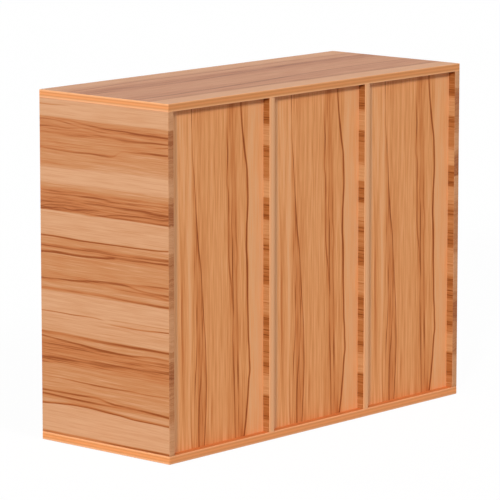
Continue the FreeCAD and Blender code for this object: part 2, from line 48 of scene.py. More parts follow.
# %% [markdown]
# The camera stands far away behind the organizer, to the left of the picture, and looks a little
# down, with a long lens, so that the boards' edges run almost parallel. Its place and its lens
# were worked out from the corners of the case in the picture.

# %% The camera
CAMERA_PLACE = Vector((4.521, 4.012, 1.320))           # metres
CAMERA_LOOK = Vector((-0.7363, -0.6555, -0.1680))
FOCAL_PIXELS = 3580.3
PICTURE_PIXELS = 500
SENSOR_WIDTH = 36.0            # mm
FARTHEST = 50.0                # metres: the floor's far end is nearer than this

camera = bpy.data.objects.new("camera", bpy.data.cameras.new("camera"))
bpy.context.scene.collection.objects.link(camera)
camera.data.sensor_width = SENSOR_WIDTH
camera.data.lens = FOCAL_PIXELS / PICTURE_PIXELS * SENSOR_WIDTH
camera.data.clip_end = FARTHEST
camera.location = CAMERA_PLACE
camera.rotation_mode = "QUATERNION"
camera.rotation_quaternion = CAMERA_LOOK.to_track_quat("-Z", "Y")
bpy.context.scene.camera = camera
print("lens", round(camera.data.lens, 1), "mm")

# %% [markdown]
# Each material is a small tree of nodes. One function adds a node: it takes the node's kind,
# what goes into its sockets (a number, a colour or another node's output), and its settings.
# Colours are written as a painter's hex values and turned into the linear values that light
# needs.

# %% Two helpers for materials
def linear(hex_colour):
    """sRGB hex to linear RGBA: c / 12.92 below 0.04045, else ((c + 0.055) / 1.055) ^ 2.4."""
    channels = np.array([int(hex_colour[i:i + 2], 16) for i in (1, 3, 5)]) / 255
    low, high = channels / 12.92, ((channels + 0.055) / 1.055) ** 2.4
    return (*np.where(channels <= 0.04045, low, high), 1.0)


def add(tree, kind, inputs=None, output=0, stops=(), **settings):
    """Add a node with its settings, inputs and, for a ramp or curve, its stops.

    Returns the named output, or the node itself where it has none.
    """
    node = tree.nodes.new(kind)
    for name, value in settings.items():
        setattr(node, name, value)
    if stops:
        is_ramp = hasattr(node, "color_ramp")
        points = node.color_ramp.elements if is_ramp else node.mapping.curves[0].points
        while len(points) < len(stops):
            points.new(0.5) if is_ramp else points.new(0.5, 0.5)
        for point, (where, value) in zip(points, stops):
            if is_ramp:
                point.position, point.color = where, value
            else:
                point.location = (where, value)
        if not is_ramp:
            node.mapping.update()
    for name, value in (inputs or {}).items():
        if isinstance(value, bpy.types.NodeSocket):
            tree.links.new(value, node.inputs[name])
        else:
            node.inputs[name].default_value = value
    return node.outputs[output] if node.outputs else node


print("the brown #8a5230 is", [round(c, 3) for c in linear("#8a5230")], "in linear light")

# %% [markdown]
# The boards wear a printed laminate: a paper with the figure of heartwood beech under a clear,
# half-matt coat. What the eye reads is a tan ground in soft bands, with long dark lines that
# wander along the grain and fade to one side. An image would be the usual way. Here each line is
# a curve across the sheet: a Float Curve node says how far across the sheet the line lies at each
# place along it, and another how strong it is there. A noise that is stretched along the grain
# bends the lines a little and adds the fibres between them.

# %% One grain line
SHEET = 600.0                  # the longest distance across a sheet, in mm


def grain_line(tree, along, across, course, depth, fade):
    """How dark one line makes a point: depth(along) * rise(gap) * fall(gap).

    The gap is the distance across from the line's course. The line rises over the first fade
    before its course and falls over the second one after it. Along runs from 0 to 1.
    """
    centre = add(tree, "ShaderNodeFloatCurve", {"Value": along},
                 stops=[(where, place / SHEET) for where, place in course])
    gap = add(tree, "ShaderNodeMath", {0: centre, 1: -SHEET, 2: across},
              operation="MULTIPLY_ADD")
    rise = add(tree, "ShaderNodeMapRange", {"Value": gap, "From Min": -fade[0], "From Max": 0.0},
               interpolation_type="SMOOTHSTEP")
    fall = add(tree, "ShaderNodeMapRange", {"Value": gap, "From Min": 0.0, "From Max": fade[1],
                                            "To Min": 1.0, "To Max": 0.0},
               interpolation_type="SMOOTHSTEP")
    both = add(tree, "ShaderNodeMath", {0: rise, 1: fall}, operation="MULTIPLY")
    strength = add(tree, "ShaderNodeFloatCurve", {"Value": along}, stops=depth)
    return add(tree, "ShaderNodeMath", {0: both, 1: strength}, operation="MULTIPLY")


# %% [markdown]
# A sheet's own coordinates are the share of its length along the grain and the millimetres
# across it, both read from Object coordinates, which are the case's own metres. The ground tone
# is a curve across the sheet: 1 is the palest wood and 0 the darkest line. A ramp turns the tone
# to a colour.

# %% The laminate
FIBRES = (160.0, 4.5)          # mm long and wide, as coarse as the picture shows them
PORES = (60.0, 1.5)            # mm: the finest streaks that show
PORE_STRENGTH = 1.3            # times as strong as the fibres
PORE_DEPTH = 0.00003           # metres: the coat is pressed 0.03 mm deep
PORE_ROUGHNESS = 0.56
WOOD_ROUGHNESS = 0.44
NOISE_SPAN = (0.3, 0.7)        # most of a noise lies between these
NOISE_MIDDLE = 0.5
DARK_FIBRES = 2.6              # fibres are this much stronger in the darkest wood
FIBRE_SEED = 7.0               # added to a sheet's seed, so that fibres and bends differ


def sheet_axes(tree, grain_axis, grain_span, cross_axis, cross_start, sign, wrap=None):
    """Along the grain from 0 to 1, across the sheet in mm, and the distance along in mm."""
    here = add(tree, "ShaderNodeTexCoord", output="Object")
    split = add(tree, "ShaderNodeSeparateXYZ", {"Vector": here}).node
    low, high = grain_span
    along = add(tree, "ShaderNodeMapRange", {"Value": split.outputs[grain_axis],
                                             "From Min": low, "From Max": high})
    length = abs(high - low) * MM
    run = add(tree, "ShaderNodeMath", {0: along, 1: length}, operation="MULTIPLY")
    across = add(tree, "ShaderNodeMath", {0: split.outputs[cross_axis], 1: sign * MM,
                                          2: -sign * cross_start * MM}, operation="MULTIPLY_ADD")
    if wrap:
        across = add(tree, "ShaderNodeMath", {0: across, 1: wrap * MM, 2: 0.0},
                     operation="WRAP")
    return along, across, run


def stretched_noise(tree, run, across, length, width, seed, detail=2.0):
    """Noise whose grains are about a length long and a width wide, from 0 to 1."""
    place = add(tree, "ShaderNodeCombineXYZ", {
        "X": add(tree, "ShaderNodeMath", {0: run, 1: 1 / length}, operation="MULTIPLY"),
        "Y": add(tree, "ShaderNodeMath", {0: across, 1: 1 / width}, operation="MULTIPLY"),
        "Z": seed})
    return add(tree, "ShaderNodeTexNoise", {"Vector": place, "Scale": 1.0, "Detail": detail})


def new_tree(name):
    """A new material of that name, and its tree of nodes."""
    material = bpy.data.materials.new(name)
    material.use_nodes = True
    return material, material.node_tree


def centred(tree, noise):
    """A noise less its middle, so that it pushes both ways."""
    return add(tree, "ShaderNodeMath", {0: noise, 1: NOISE_MIDDLE}, operation="SUBTRACT")


def colour_ramp(tree, tone, colours):
    """The colour that hex stops give a tone."""
    return add(tree, "ShaderNodeValToRGB", {"Fac": tone},
               stops=[(where, linear(value)) for where, value in colours])


def coat(tree, colour, height, gloss):
    """A half-matt melamine coat over the paper, pressed into pores.

    The bump is height * PORE_DEPTH, and the roughness falls from the pores to the wood.
    """
    shader = tree.nodes["Principled BSDF"]
    bump = add(tree, "ShaderNodeBump", {"Height": height, "Strength": 1.0,
                                        "Distance": PORE_DEPTH}, output="Normal")
    low, high = NOISE_SPAN
    rough = add(tree, "ShaderNodeMapRange", {"Value": height, "From Min": low, "From Max": high,
                                             "To Min": PORE_ROUGHNESS, "To Max": WOOD_ROUGHNESS})
    tree.links.new(colour, shader.inputs["Base Color"])
    tree.links.new(rough, shader.inputs["Roughness"])
    tree.links.new(bump, shader.inputs["Normal"])
    shader.inputs["Specular IOR Level"].default_value = gloss


def laminate(name, axes, ground, lines, colours, seed=0.0, sway=(2.4, 110.0, 30.0), fibre=0.4,
             gloss=0.2):
    """A laminate: tone = ground(across) + fibres - lines, through a ramp of colours.

    The sway says how far the figure bends, and how long and wide its bends are, in mm. The
    fibre is the strength of the fibres in the palest wood.
    """
    material, tree = new_tree(name)
    along, across, run = sheet_axes(tree, *axes)
    reach, bend_length, bend_width = sway
    wander = stretched_noise(tree, run, across, bend_length, bend_width, seed)
    bent = add(tree, "ShaderNodeMath", {0: centred(tree, wander), 1: reach, 2: across},
               operation="MULTIPLY_ADD")
    tone = add(tree, "ShaderNodeFloatCurve", {
        "Value": add(tree, "ShaderNodeMath", {0: bent, 1: 1 / SHEET}, operation="MULTIPLY")},
        stops=[(place / SHEET, value) for place, value in ground])
    strength = add(tree, "ShaderNodeMapRange", {"Value": tone, "To Min": fibre * DARK_FIBRES,
                                                "To Max": fibre})
    for (length, width), share in ((FIBRES, 1.0), (PORES, PORE_STRENGTH)):
        noise = stretched_noise(tree, run, bent, length, width, seed + FIBRE_SEED)
        push = add(tree, "ShaderNodeMath", {0: centred(tree, noise), 1: share},
                   operation="MULTIPLY")
        tone = add(tree, "ShaderNodeMath", {0: push, 1: strength, 2: tone},
                   operation="MULTIPLY_ADD")
    for course, depth, fade in lines:
        dark = grain_line(tree, along, bent, course, depth, fade)
        tone = add(tree, "ShaderNodeMath", {0: tone, 1: dark}, operation="SUBTRACT")
    coat(tree, colour_ramp(tree, tone, colours), noise, gloss)
    return material


# %% [markdown]
# The side's sheet has its grain from front to back. From the top down it shows pale bands and
# reddish brown ones, with dark lines along their borders. The last line, at the side's foot, is
# painted shade along the joint with the bottom board. The places are millimetres from the
# top of the case, and each line's course goes from the front to the back.

# %% The side's figure
SIDE_COLOURS = ((0.0, "#964a14"), (0.3, "#c2743e"), (0.62, "#ca8855"), (1.0, "#dba47a"))
SIDE_GROUND = (
    (0, .92), (42, .9), (44, .54), (52, .45), (60, .42), (68, .45), (76, .52), (100, .58),
    (112, .66), (122, .8), (132, .95), (148, .93), (153, .7), (160, .62), (165, .38),
    (197.5, .34), (199.5, .88), (240, .86), (245, .64), (254, .6), (262, .52), (272, .58),
    (300, .6), (308, .52), (318, .56), (324, .7), (330, .56), (336, .88), (368, .92), (374, .86),
    (402, .84), (406, .54), (415, .66), (421, .5), (437, .36), (449, .37), (457, .56),
    (470, .62), (500, .66), (506, .54), (516, .62), (530, .9), (573, .92), (577, .6), (600, .93))
SIDE_LINES_AND_FOOT_SHADE = (
    (((0, 22.5), (.15, 22.25), (.3, 19)), ((0, .47), (.15, .34), (.3, 0), (1, 0)), (1.8, 1.8)),
    (((0, 48), (.17, 48.75), (.26, 52.25), (.32, 53.75)), ((0, .41), (.17, .41), (.3, .18),
     (.36, 0), (1, 0)), (2.4, 1.8)),
    (((0, 46), (.19, 45), (.34, 49.25), (.5, 52.5), (.7, 54.25), (.85, 56), (1, 56)), ((0, 0),
     (.15, .18), (.34, .24), (.45, .48), (.75, .54), (.85, .71), (1, .65)), (3, 1.8)),
    (((0, 60), (.12, 57.5), (.22, 58.5), (.35, 55.75), (.5, 59), (.65, 58)), ((0, .3), (.5, .24),
     (.65, 0), (1, 0)), (2.4, 2.4)),
    (((0, 69.25), (.3, 69.25), (.44, 68.25), (.56, 67), (.66, 69), (.75, 69), (.87, 67.25),
     (1, 66.5)), ((0, .12), (.4, .24), (.5, .36), (.55, .24), (.7, .41), (.85, .48), (1, .36)),
     (3.6, 1.8)),
    (((0, 75), (.85, 75), (1, 71)), ((0, 0), (.85, 0), (.95, .36), (1, .36)), (1.8, 1.8)),
    (((0, 85), (.3, 84.75), (.5, 87)), ((0, .18), (.3, .18), (.5, 0), (1, 0)), (2.4, 2.4)),
    (((0, 95.25), (.1, 96.5), (.3, 97.5), (.4, 97), (.5, 98.25), (.58, 97), (.64, 88.5),
     (.72, 86.5), (.85, 85), (1, 84.75)), ((0, .41), (.3, .36), (.5, .41), (.58, .24), (.65, .12),
     (.75, .3), (1, .36)), (3.6, 1.8)),
    (((0, 123), (.3, 121), (.5, 116)), ((0, .3), (.3, .2), (.55, 0), (1, 0)), (12, 8)),
    (((0, 168), (.25, 169.5), (.5, 169.25), (.6, 171.5), (.7, 170.5), (1, 168.25)), ((0, .05),
     (.2, .2), (.5, .31), (.6, .15), (.75, .2), (1, .26)), (2.4, 3.6)),
    (((0, 187.25), (.15, 183.5), (.35, 181.5), (.5, 179.25), (.65, 181), (.8, 180.5), (.9, 182),
     (1, 183)), ((0, .31), (.2, .2), (.5, .2), (.7, .31), (.85, .46), (1, .55)), (4.8, 2.4)),
    (((0, 198.25), (.08, 194.5), (.17, 192.5), (.26, 193.5), (.35, 190.5), (.5, 186), (.6, 182)),
     ((0, .46), (.25, .41), (.35, .2), (.5, .11), (.6, 0), (1, 0)), (1.8, 2.4)),
    (((0, 193.75), (.1, 189.75), (.25, 187)), ((0, .31), (.2, .11), (.3, 0), (1, 0)), (2.4, 2.4)),
    (((0, 199.5), (.3, 199.5), (.42, 198.25), (.55, 193.5), (.68, 190.5), (.85, 189), (.93, 190.25),
     (1, 188.5)), ((0, 0), (.3, 0), (.42, .31), (.55, .26), (.7, .26), (.9, .31), (1, .41)),
     (1.8, 3.6)),
    (((0, 198.75), (1, 198)), ((0, .35), (.2, .31), (.4, .11), (.6, .26), (.8, .31), (1, .46)),
     (4.8, 1.2)),
    (((0, 242), (.12, 242), (.22, 242.5), (.35, 243), (.45, 242.75), (.6, 241.75), (.8, 241.5),
     (.92, 240.5), (1, 238.75)), ((0, .94), (.35, 1), (.5, 1), (.9, .94), (1, .88)), (2.2, 2.2)),
    (((0, 259.25), (.3, 258.5), (.45, 257.25), (.6, 258.25), (.8, 257.25), (1, 255)), ((0, .41),
     (.45, .47), (.6, .41), (.8, .47), (1, .61)), (4.8, 3)),
    (((0, 271.25), (.1, 269.75), (.3, 269.5), (.45, 268), (.57, 265.5), (.65, 265)), ((0, .81),
     (.2, .81), (.45, .68), (.57, .41), (.62, 0), (1, 0)), (4.8, 1.6)),
    (((0, 262), (.4, 262), (.5, 263), (.65, 263), (.8, 262.5), (1, 261)), ((0, 0), (.4, .07),
     (.6, .47), (.8, .61), (1, .68)), (3.6, 3.6)),
    (((0, 313.75), (.12, 313), (.3, 310.25), (.45, 306.5), (.6, 303.75), (.8, 301.5), (1, 299)),
     ((0, .54), (.3, .54), (.5, .47), (1, .47)), (1.8, 4.8)),
    (((0, 316), (.3, 312), (.5, 308.5), (.65, 305.75), (.8, 311), (1, 312.5)), ((0, 0), (.35, 0),
     (.5, .2), (.7, .34), (.85, .41), (1, .54)), (2.4, 3.6)),
    (((0, 318), (.4, 313), (.7, 315), (.85, 315.5), (1, 318.25)), ((0, 0), (.5, 0), (.7, .27),
     (1, .41)), (1.8, 3.6)),
    (((0, 331.75), (.2, 330.5), (.45, 329.5), (.6, 330.5), (.8, 331.75), (.92, 332.75),
     (1, 331.75)), ((0, .3), (.4, .25), (.6, .35), (.85, .45), (1, .5)), (5, 2)),
    (((0, 369.75), (.15, 368.75), (.25, 369), (.38, 368), (.45, 368.5), (.55, 372)), ((0, .61),
     (.25, .81), (.38, .61), (.45, .47), (.55, 0), (1, 0)), (1.8, 1.6)),
    (((0, 374), (.5, 375.25), (.7, 376), (.8, 375.5), (.9, 374.25), (1, 373)), ((0, 0), (.5, .14),
     (.6, .47), (.8, .61), (1, .81)), (2.2, 1.8)),
    (((0, 367), (.6, 367.5), (1, 366.5)), ((0, 0), (.5, 0), (.6, .27), (.9, .27), (1, .41)),
     (1.8, 1.8)),
    (((0, 404.5), (.3, 404.5), (.5, 405.75), (.75, 406), (1, 405.5)), ((0, .47), (.3, .41),
     (.5, .47), (.75, .61), (1, .54)), (3, 4.8)),
    (((0, 411.5), (.12, 414.25), (.3, 417), (.5, 419.5), (.7, 420.75), (.78, 419.25), (.85, 418),
     (1, 418)), ((0, .61), (.3, .61), (.5, .68), (.7, .61), (.85, .47), (1, .47)), (1.6, 4.2)),
    (((0, 420.75), (.5, 424.75), (1, 427.75)), ((0, .25), (.3, .2), (.6, .1), (1, .1)), (7, 7)),
    (((0, 448.5), (.2, 446), (.4, 443.75), (.6, 442.5), (.8, 442.25), (1, 438.75)), ((0, .3),
     (1, .3)), (4, 6)),
    (((0, 457), (.2, 453.25), (.5, 450), (.8, 447)), ((0, .3), (.2, .2), (.5, 0), (1, 0)),
     (6, 1.5)),
    (((0, 480.5), (.2, 480.25), (.35, 481.5), (.5, 481.75), (.65, 480.75), (.7, 480.5), (.8, 481.5),
     (1, 479.75)), ((0, .14), (.12, .41), (.3, .47), (.5, .61), (.7, .54), (.9, .47), (1, .27)),
     (2.4, 1.8)),
    (((0, 504), (.3, 503.5), (.45, 502.75), (.55, 507), (.65, 508.25), (.8, 509.5), (1, 512.5)),
     ((0, .54), (.3, .54), (.45, .41), (.6, .54), (.8, .54), (1, .68)), (3, 3.6)),
    (((0, 510.75), (.3, 512), (1, 512)), ((0, .41), (.3, .41), (.5, .34), (.7, .14), (1, 0)),
     (3.6, 3.6)),
    (((0, 527.25), (.12, 524.75), (.25, 522), (.35, 521.25), (.45, 522.25), (.6, 524.5),
     (.7, 526.5), (.85, 527.5), (1, 527.75)), ((0, .88), (.4, .88), (.75, .94), (1, .88)),
     (4.8, 1.6)),
    # Painted shade: the last line darkens the side's foot along its joint with the bottom board.
    (((0, 574.5), (1, 574.75)), ((0, .61), (.4, .54), (.6, .81), (1, .94)), (3.6, 2.4)),
)
(case_left, case_front, case_foot), (case_right, case_back, case_top) = cad_box
DEPTH_SPAN = (case_front, case_back)
WIDTH_SPAN = (case_right, case_left)
side_laminate = laminate("heartwood_laminate_side", ("Y", DEPTH_SPAN, "Z", case_top, -1),
                         SIDE_GROUND, SIDE_LINES_AND_FOOT_SHADE, SIDE_COLOURS)
print(len(SIDE_LINES_AND_FOOT_SHADE), "lines on a side")

# %% [markdown]
# The narrow back edge of a side carries on the same bands, with a wavy figure where the saw
# crossed the grain, in the side's colours painted a little darker, as shade on a face turned from
# the light. The faces that look into the bays come from another stretch of the sheet, with closer
# and darker bands, partly the sheet's figure and partly painted shade, of which the picture shows
# the strips behind the back edges; their ground has a painted contact shadow just under the top
# board. Each of its lines is given by its place and its tilt from front to back, in mm.

# %% The side's back edge and the inner faces
# Painted shade: these ramps are the side's colours made darker for faces that lie in shade.
SHADED_INNER_COLOURS = ((0.0, "#7e3f12"), (0.3, "#ac6832"), (0.62, "#be7f49"), (1.0, "#d6a371"))
SHADED_EDGE_COLOURS = ((0.0, "#80421f"), (0.3, "#a15c33"), (0.62, "#ba7b4d"), (1.0, "#cf966b"))
INNER_GROUND_AND_SHADOW = (
    # Painted shade: the dark stripe at 16 mm is a contact shadow just under the top board.
    (0, .6), (14, .6), (16, .1), (20, .2), (26, .3), (42, .4), (45, .35), (57, .4), (61, .85),
    (90, .85), (93, .45), (105, .4), (112, .5), (136, .55), (150, .62), (157, .9), (176, .9),
    (181, .5), (190, .42), (192, .3), (201, .27), (204, .42), (208, .3), (215, .28), (219, .82),
    (244, .8), (252, .7), (259, .4), (266, .3), (270, .58), (292, .55), (298, .4), (309, .45),
    (314, .3), (324, .3), (328, .72), (356, .78), (362, .78), (378, .75), (381, .3), (387, .3),
    (391, .42), (406, .4), (410, .32), (415, .33), (420, .48), (438, .5), (452, .55), (461, .3),
    (466, .35), (471, .6), (478, .6), (483, .85), (510, .85), (515, .38), (530, .33), (545, .38),
    (555, .3), (558, .55), (573, .6), (600, .6))
INNER_LINES = tuple(
    (((0, place - tilt), (.5, place + 1), (1, place)), ((0, .32), (1, .42)), (1.3, 1.3))
    for place, tilt in ((46, 6), (50, 2), (95, -3), (101, 2), (111, 5), (193, -2), (210, 3),
                        (249, 2), (261, -5), (266, 4), (300, 3), (306, -4), (319, 6), (357, 2),
                        (383, -3), (393, 4), (403, -2), (412, 3), (440, 3), (464, -3), (476, 2),
                        (517, 3), (530, -4), (549, 2), (554, 3)))
shaded_edge_laminate = laminate(
    "heartwood_laminate_edge_painted_shade", ("X", (case_left, case_right), "Z", case_top, -1),
    SIDE_GROUND, (), SHADED_EDGE_COLOURS, sway=(10.0, 8.0, 11.0))
shaded_inner_laminate = laminate("heartwood_laminate_inside_painted_shade", ("Y", DEPTH_SPAN, "Z", case_top, -1),
                          INNER_GROUND_AND_SHADOW, INNER_LINES, SHADED_INNER_COLOURS, seed=3.0)
print(len(INNER_LINES), "lines on an inner face")

# %% [markdown]
# The three back panels are cut from the same print, so their figure is the same. The grain
# stands upright. Its pale strip in the first 22 mm, beside each upright, is painted light, which
# gives the shade there its greyer tint. The places are millimetres from the left of the panel as
# the picture shows it, and the courses run from the top down.

# %% The back panel's figure
PANEL_COLOURS = ((0.0, "#94491a"), (0.3, "#cb783e"), (0.62, "#dd9459"), (0.85, "#e9a269"),
                 (1.0, "#e7aa78"))
PANEL_GROUND_AND_SHADE_TINT = (
    # Painted light: the pale first stops, to 22 mm, tint the shade beside each upright.
    (0, .95), (14, .97), (22, .93), (26, .8), (31, .76), (35, .84), (41, .83), (45, .74), (49, .82),
    (53, .95), (56, .9), (58.5, .68), (66, .62), (88, .6), (96, .66), (140, .7), (146, .55),
    (163, .52), (169, .66), (190, .62), (196, .92), (240, .92))
PANEL_LINES = (
    (((0, 32), (.6, 32.2), (.8, 33.3), (.88, 34.4), (1, 37.3)), ((0, .05), (.33, .06), (.45, .3),
     (.55, .42), (.8, .48), (.88, .35), (1, .18)), (2.2, 12)),
    (((0, 40), (.33, 40.3), (.5, 40.9), (1, 44)), ((0, 0), (.3, 0), (.36, .25), (.5, .2), (.6, .1),
     (1, 0)), (8, 1.5)),
    (((0, 57.4), (.09, 58.5), (.15, 60.2), (.2, 63), (.265, 66.2), (.33, 68.9), (.4, 72.6),
     (.45, 77.1), (.5, 80.4), (.56, 82.7), (.62, 85.8), (.68, 88.9), (.74, 90.9), (.88, 91.1),
     (.92, 89.9), (1, 86.4)), ((0, .2), (.1, .15), (.25, .2), (.4, .28), (.6, .22), (.7, .28),
     (1, .32)), (10, 2)),
    (((0, 57.4), (.09, 58.5), (.15, 60.2), (.2, 63), (.265, 66.2), (.33, 68.9), (.4, 72.6),
     (.45, 77.1), (.5, 80.4), (.56, 82.7), (.62, 85.8), (.68, 88.9), (.74, 90.9), (.88, 91.1),
     (.92, 89.9), (1, 86.4)), ((0, .4), (.05, .35), (.08, .25), (.15, .35), (.3, .4), (.5, .3),
     (.65, .35), (1, .25)), (2, 1.8)),
    (((0, 66), (.35, 66), (.45, 67), (.55, 72), (.7, 74), (1, 73.6)), ((0, 0), (.3, 0), (.4, .15),
     (.5, .18), (.6, .2), (.8, .26), (1, .26)), (10, 12)),
    (((0, 64), (.43, 64), (.5, 62), (.56, 61), (.62, 61.1), (.7, 57.5), (.77, 53.4), (.83, 53.3),
     (.89, 53.3), (.95, 54.1), (1, 56.2)), ((0, 0), (.38, 0), (.43, .15), (.7, .17), (.83, .38),
     (.9, .55), (1, .5)), (1.6, 5)),
    (((0, 69.3), (.71, 68.5), (.735, 68.1), (.763, 67.2), (.79, 65.7), (.83, 64.3), (1, 61.9)),
     ((0, 0), (.54, 0), (.6, .35), (.7, .45), (.78, .55), (.83, .45), (.9, .2), (1, .15)), (2, 2)),
    (((0, 81), (.63, 82), (.74, 81.2)), ((0, 0), (.6, 0), (.64, .45), (.72, .4), (.8, .2), (1, .1)),
     (2, 2)),
    (((0, 80), (.74, 78.5), (.79, 78.7), (.82, 77.6), (.87, 74.7), (1, 73.9)), ((0, 0), (.7, 0),
     (.79, .22), (.82, .32), (1, .3)), (3, 2.5)),
    (((0, 103), (1, 106)), ((0, 0), (.8, 0), (.9, .12), (1, .15)), (6, 8)),
    (((0, 141.8), (.12, 142.7), (.15, 143.8), (.2, 143.1), (.24, 142.9), (.26, 145.1), (.3, 146.1),
     (.36, 145.3), (.44, 146), (.475, 147.4), (.5, 149), (.54, 153), (.6, 156.3), (.65, 157.5),
     (.72, 157.5), (.8, 158.8), (.86, 159.8), (.92, 160.6), (1, 162.8)), ((0, 0), (.05, .1),
     (.15, .4), (.2, .35), (.25, .35), (.3, .45), (.38, .5), (.44, .45), (.5, .35), (.6, .35),
     (.7, .5), (.85, .5), (1, .4)), (2.5, 4)),
    (((0, 156), (.4, 157), (.5, 156.5), (.6, 158.2), (1, 157)), ((0, 0), (.37, 0), (.42, .3),
     (.6, .35), (.65, 0), (1, 0)), (3, 2)),
    (((0, 153.9), (.1, 155), (.3, 156.9), (.4, 156), (1, 156)), ((0, .28), (.05, .15), (.3, .1),
     (.42, .04), (.5, 0), (1, 0)), (9, 9)),
    (((0, 164), (.36, 163.9), (.4, 164.5), (.43, 166.7), (.46, 167.8), (.5, 166.7), (.57, 166.2),
     (.62, 166.9), (.7, 167.7), (.8, 169.1), (.9, 170.4), (1, 170.3)), ((0, 0), (.12, .05),
     (.2, .22), (.36, .22), (.42, .32), (.47, .36), (.55, .33), (.7, .4), (.85, .5), (1, .5)),
     (3, 5)),
    (((0, 177.2), (.035, 177.8), (.06, 179.2), (.083, 180.7), (.107, 182.7), (.154, 187.2),
     (.178, 189.5), (.2, 191.9), (.225, 193.2), (.25, 193.7), (.295, 194.2), (.343, 193.1),
     (.367, 191.7), (.4, 191.1), (.44, 190.7), (.46, 191.7), (.5, 193.1), (.6, 194.1), (.65, 194.8),
     (.71, 195.6), (.74, 197.3), (.77, 197.8), (.795, 198.9), (.81, 198.7), (.83, 196.7),
     (.85, 195.5), (.89, 193.6), (.95, 189.5), (1, 184.9)), ((0, .7), (.35, .9), (.5, 1), (1, .75)),
     (4, 3.2)),
    (((0, 178), (.85, 179.9), (1, 179.4)), ((0, 0), (.8, 0), (.9, .2), (.96, .32), (1, .38)),
     (9, 8)),
)
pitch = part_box("right_back_panel")[1].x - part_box("middle_back_panel")[1].x
bay_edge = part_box("right_side")[0].x
panel_laminate = laminate(
    "heartwood_laminate_panel",
    ("Z", (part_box("top_board")[0].z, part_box("bottom_board")[1].z), "X", bay_edge, -1, pitch),
    PANEL_GROUND_AND_SHADE_TINT, PANEL_LINES, PANEL_COLOURS, seed=5.0, sway=(1.0, 40.0, 30.0), fibre=0.5)
print("bay pitch", round(pitch * MM, 2), "mm")

# %% [markdown]
# The top's grain runs along its width, with two broad darker bands. Its pale, greyish pink
# colours are partly the wood and partly painted sheen of the coat seen at a low angle.

# %% The top's figure
# Partly painted sheen: the pale, greyish pink of these stops.
TOP_COLOURS_AND_SHEEN = ((0.0, "#94583a"), (0.35, "#c4815c"), (0.62, "#d2926c"), (1.0, "#ecb186"))
TOP_GROUND = ((0, .9), (32, .88), (46, .7), (64, .74), (72, .66), (82, .44), (106, .44),
              (118, .62), (175, .68), (196, .54), (214, .54), (224, .66), (236, .56), (246, .68),
              (256, .98), (600, .98))
TOP_LINES = (
    (((0, 64.25), (.1, 59.5), (.2, 51.5), (.3, 50.25), (.5, 52), (.7, 45), (.85, 46.5), (1, 52.5)),
     ((0, .5), (.5, .4), (1, .25)), (5, 4)),
    (((0, 99.5), (.3, 93), (.6, 84.5), (1, 75.5)), ((0, .1), (1, .25)), (8, 6)),
    (((0, 112.75), (.2, 115), (.4, 109.5), (.6, 93), (1, 90)), ((0, .2), (.6, .3), (1, .1)),
     (7, 3)),
    (((0, 216), (.2, 211), (.4, 199.75), (.6, 184.75), (.8, 176), (1, 178)), ((0, .3), (1, .4)),
     (3, 9)),
    (((0, 247.5), (.4, 240.5), (.6, 242.5), (.8, 245.5), (1, 244.5)), ((0, .15), (1, .35)), (7, 3)),
)
top_laminate = laminate("heartwood_laminate_top", ("X", WIDTH_SPAN, "Y", case_front, 1),
                        TOP_GROUND, TOP_LINES, TOP_COLOURS_AND_SHEEN, seed=9.0, sway=(4.0, 150.0, 30.0),
                        gloss=0.1)
print(len(TOP_LINES), "lines on the top")

# %% [markdown]
# The inner faces of the top and bottom boards are seen only as strips; their strong orange is
# painted bounce light from the wood round them. The drawer fronts have the side's sheet without its
# lowest line, the painted shade at the side's foot, turned so that its grain lies level, and the
# shelves and decks a plainer one. The drawer boxes and the dowels are of pale birch, sanded smooth:
# fine and even, almost without figure.

# %% Level sheets
# Painted bounce light: the boards' inner faces are coloured a strong orange.
BOUNCE_CAP_COLOURS = ((0.0, "#b35a26"), (1.0, "#f0904e"))
painted_bounce_laminate = laminate("orange_laminate_painted_bounce", ("X", WIDTH_SPAN, "Y", case_front, 1),
                              ((0, .7), (SHEET, .7)), (), BOUNCE_CAP_COLOURS, seed=2.0)
front_laminate = laminate("heartwood_laminate_drawer", ("X", WIDTH_SPAN, "Z", case_top, -1),
                          SIDE_GROUND, SIDE_LINES_AND_FOOT_SHADE[:-1], SIDE_COLOURS, seed=6.0)
shelf_laminate = laminate("heartwood_laminate_shelf", ("X", WIDTH_SPAN, "Y", case_front, 1),
                          ((0, .75), (60, .6), (130, .8), (200, .62), (280, .78), (600, .7)), (),
                          SIDE_COLOURS, seed=4.0)
BIRCH_COLOURS = ((0.0, "#d49a63"), (0.5, "#eabb86"), (1.0, "#f4d0a2"))
birch = laminate("pale_birch_drawer_box", ("Y", DEPTH_SPAN, "Z", case_foot, 1),
                 ((0, .5), (SHEET, .5)), (), BIRCH_COLOURS, seed=8.0)
print("four level sheets")

# %% [markdown]
# The narrow edges of the boards are closed with edge band, a strip of melamine with fine stripes
# along it, brighter and more orange than the sheets. The pale first and last stops of each band's
# ramp are painted highlights along its eased rims. On the boards' ends a copy of the band is
# painted brighter, as light falling on that side, and on the top board's back edge a copy is
# painted duller, as shade, above a painted highlight along its lower border.

# %% Edge bands
BAND_SWAY = 0.12               # how far the stripes wander, as a share of the edge's width
BAND_GLOSS = 0.25
UPRIGHT_EDGE = 12.5            # mm, the width of the stripes on an upright's edge


